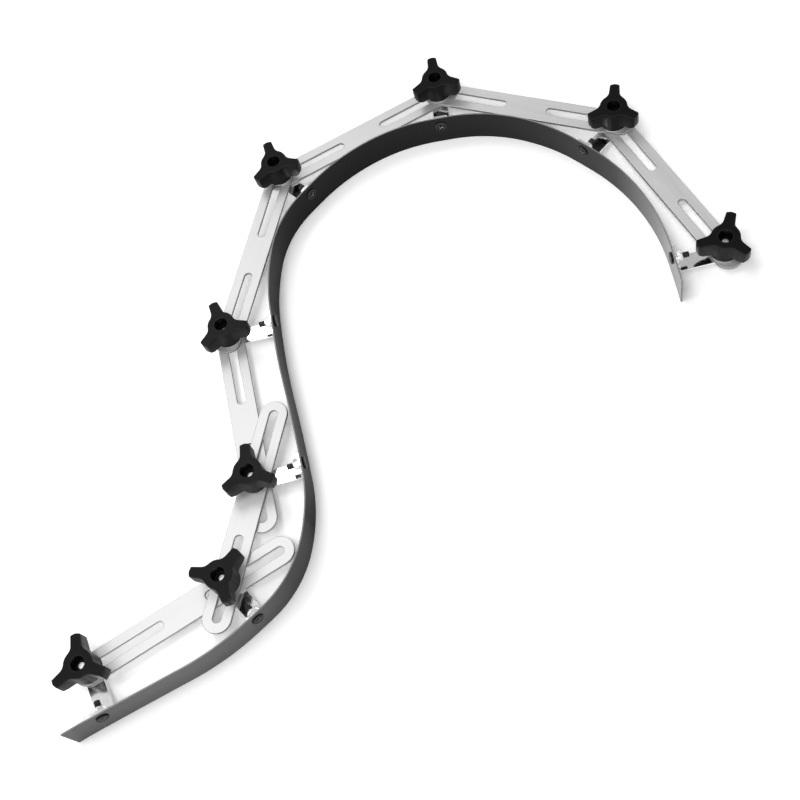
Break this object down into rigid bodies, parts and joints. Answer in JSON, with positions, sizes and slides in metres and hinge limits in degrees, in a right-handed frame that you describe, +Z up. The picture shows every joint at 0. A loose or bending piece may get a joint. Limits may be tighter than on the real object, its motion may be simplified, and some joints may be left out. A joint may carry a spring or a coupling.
{
  "type": "flexible curve ruler",
  "caption": "Springy strip stood on edge, clamped in a free curve by screwed L brackets, slotted links and three-armed knobs",
  "frame": {"origin": "on the strip's lower edge, in the middle of its thickness, at the fourth bracket", "axes": "+Z up, the strip's height; X and Y in the plane of the curve, with the strip leaving the origin 99.5 degrees from +X"},
  "size_m": [0.5408, 0.5826, 0.0359],
  "materials": {
    "strip_steel": "satin dark grey",
    "bright_plate": "bright plated",
    "bright_steel": "zinc plated",
    "black_screw": "black oxide screw, plated lock nut",
    "knob_plastic": "black moulded, satin",
    "link_aluminium": "brushed along its length"
  },
  "bodies": {
    "strip_with_station_4": {"strip": "strip_steel", "bracket_4": "bright_plate", "pivot_bolt_4": "bright_steel", "clamp_washer_4": "bright_plate", "screw_set_4": "black_screw"},
    "station_1": {"bracket_1": "bright_plate", "pivot_bolt_1": "bright_steel", "clamp_washer_1": "bright_plate", "screw_set_1": "black_screw"},
    "station_2": {"bracket_2": "bright_plate", "pivot_bolt_2": "bright_steel", "clamp_washer_2": "bright_plate", "screw_set_2": "black_screw"},
    "station_3": {"bracket_3": "bright_plate", "pivot_bolt_3": "bright_steel", "clamp_washer_3": "bright_plate", "screw_set_3": "black_screw"},
    "station_5": {"bracket_5": "bright_plate", "pivot_bolt_5": "bright_steel", "clamp_washer_5": "bright_plate", "screw_set_5": "black_screw"},
    "station_6": {"bracket_6": "bright_plate", "pivot_bolt_6": "bright_steel", "clamp_washer_6": "bright_plate", "screw_set_6": "black_screw"},
    "station_7": {"bracket_7": "bright_plate", "pivot_bolt_7": "bright_steel", "clamp_washer_7": "bright_plate", "screw_set_7": "black_screw"},
    "station_8": {"bracket_8": "bright_plate", "pivot_bolt_8": "bright_steel", "clamp_washer_8": "bright_plate", "screw_set_8": "black_screw"},
    "link_1": {"link_1": "link_aluminium"},
    "link_2": {"link_2": "link_aluminium"},
    "link_3": {"link_3": "link_aluminium"},
    "link_4": {"link_4": "link_aluminium"},
    "link_5": {"link_5": "link_aluminium"},
    "link_6": {"link_6": "link_aluminium"},
    "link_7": {"link_7": "link_aluminium"},
    "knob_1": {"knob_1": "knob_plastic", "knob_nut_1": "bright_steel"},
    "knob_2": {"knob_2": "knob_plastic", "knob_nut_2": "bright_steel"},
    "knob_3": {"knob_3": "knob_plastic", "knob_nut_3": "bright_steel"},
    "knob_4": {"knob_4": "knob_plastic", "knob_nut_4": "bright_steel"},
    "knob_5": {"knob_5": "knob_plastic", "knob_nut_5": "bright_steel"},
    "knob_6": {"knob_6": "knob_plastic", "knob_nut_6": "bright_steel"},
    "knob_7": {"knob_7": "knob_plastic", "knob_nut_7": "bright_steel"},
    "knob_8": {"knob_8": "knob_plastic", "knob_nut_8": "bright_steel"}
  },
  "joints": [
    {"name": "bend_1_2", "type": "hinge", "parent": "station_2", "child": "station_1", "pos_m": [-0.05823, -0.29264, 0.0155], "axis": [0, 0, -1], "range_deg": [-1.5, 30], "deforming": ["strip"]},
    {"name": "link_1_turn", "type": "hinge", "parent": "station_2", "child": "link_1", "pos_m": [-0.02876, -0.22194, 0.00955], "axis": [0, 0, -1], "range_deg": [-1.25, 15.5]},
    {"name": "bend_2_3", "type": "hinge", "parent": "station_3", "child": "station_2", "pos_m": [0.0338, -0.19263, 0.0155], "axis": [0, 0, -1], "range_deg": [-33, 8], "deforming": ["strip"]},
    {"name": "link_2_turn", "type": "hinge", "parent": "station_3", "child": "link_2", "pos_m": [-0.01095, -0.14, 0.00955], "axis": [0, 0, -1], "range_deg": [-17, 4.5]},
    {"name": "bend_3_4", "type": "hinge", "parent": "strip_with_station_4", "child": "station_3", "pos_m": [0.01357, -0.06436, 0.0155], "axis": [0, 0, -1], "range_deg": [-45, 8], "deforming": ["strip"]},
    {"name": "link_3_turn", "type": "hinge", "parent": "strip_with_station_4", "child": "link_3", "pos_m": [-0.04142, -0.00693, 0.00955], "axis": [0, 0, -1], "range_deg": [-23, 4.5]},
    {"name": "bend_4_5", "type": "hinge", "parent": "strip_with_station_4", "child": "station_5", "pos_m": [-0.00219, 0.06868, 0.0155], "axis": [0, 0, 1], "range_deg": [-4, 75], "deforming": ["strip"]},
    {"name": "link_4_turn", "type": "hinge", "parent": "strip_with_station_4", "child": "link_4", "pos_m": [-0.04142, -0.00693, 0.00955], "axis": [0, 0, 1], "range_deg": [-2.5, 38]},
    {"name": "bend_5_6", "type": "hinge", "parent": "station_5", "child": "station_6", "pos_m": [0.07957, 0.16663, 0.0155], "axis": [0, 0, 1], "range_deg": [-11, 68], "deforming": ["strip"]},
    {"name": "link_5_turn", "type": "hinge", "parent": "station_5", "child": "link_5", "pos_m": [-0.00398, 0.15384, 0.00955], "axis": [0, 0, 1], "range_deg": [-6, 34.5]},
    {"name": "bend_6_7", "type": "hinge", "parent": "station_6", "child": "station_7", "pos_m": [0.20913, 0.17345, 0.0155], "axis": [0, 0, 1], "range_deg": [-9, 70], "deforming": ["strip"]},
    {"name": "link_6_turn", "type": "hinge", "parent": "station_6", "child": "link_6", "pos_m": [0.14136, 0.22431, 0.00955], "axis": [0, 0, 1], "range_deg": [-5, 35.5]},
    {"name": "bend_7_8", "type": "hinge", "parent": "station_7", "child": "station_8", "pos_m": [0.30721, 0.08488, 0.0155], "axis": [0, 0, 1], "range_deg": [-9, 66], "deforming": ["strip"]},
    {"name": "link_7_turn", "type": "hinge", "parent": "station_7", "child": "link_7", "pos_m": [0.29365, 0.16764, 0.00955], "axis": [0, 0, 1], "range_deg": [-5, 33.5]},
    {"name": "knob_1_turn", "type": "hinge", "parent": "station_1", "child": "knob_1", "pos_m": [-0.13426, -0.28335, 0.0146], "axis": [0, 0, 1], "continuous": true},
    {"name": "knob_2_turn", "type": "hinge", "parent": "station_2", "child": "knob_2", "pos_m": [-0.02876, -0.22194, 0.0146], "axis": [0, 0, 1], "continuous": true},
    {"name": "knob_3_turn", "type": "hinge", "parent": "station_3", "child": "knob_3", "pos_m": [-0.01095, -0.14, 0.0146], "axis": [0, 0, 1], "continuous": true},
    {"name": "knob_4_turn", "type": "hinge", "parent": "strip_with_station_4", "child": "knob_4", "pos_m": [-0.04142, -0.00693, 0.0146], "axis": [0, 0, 1], "continuous": true},
    {"name": "knob_5_turn", "type": "hinge", "parent": "station_5", "child": "knob_5", "pos_m": [-0.00398, 0.15384, 0.0146], "axis": [0, 0, 1], "continuous": true},
    {"name": "knob_6_turn", "type": "hinge", "parent": "station_6", "child": "knob_6", "pos_m": [0.14136, 0.22431, 0.0146], "axis": [0, 0, 1], "continuous": true},
    {"name": "knob_7_turn", "type": "hinge", "parent": "station_7", "child": "knob_7", "pos_m": [0.29365, 0.16764, 0.0146], "axis": [0, 0, 1], "continuous": true},
    {"name": "knob_8_turn", "type": "hinge", "parent": "station_8", "child": "knob_8", "pos_m": [0.36923, 0.02843, 0.0146], "axis": [0, 0, 1], "continuous": true}
  ],
  "couplings": [
    {"joint": "link_1_turn", "follows": "bend_1_2", "ratio": 0.5},
    {"joint": "link_2_turn", "follows": "bend_2_3", "ratio": 0.5},
    {"joint": "link_3_turn", "follows": "bend_3_4", "ratio": 0.5},
    {"joint": "link_4_turn", "follows": "bend_4_5", "ratio": 0.5},
    {"joint": "link_5_turn", "follows": "bend_5_6", "ratio": 0.5},
    {"joint": "link_6_turn", "follows": "bend_6_7", "ratio": 0.5},
    {"joint": "link_7_turn", "follows": "bend_7_8", "ratio": 0.5}
  ]
}
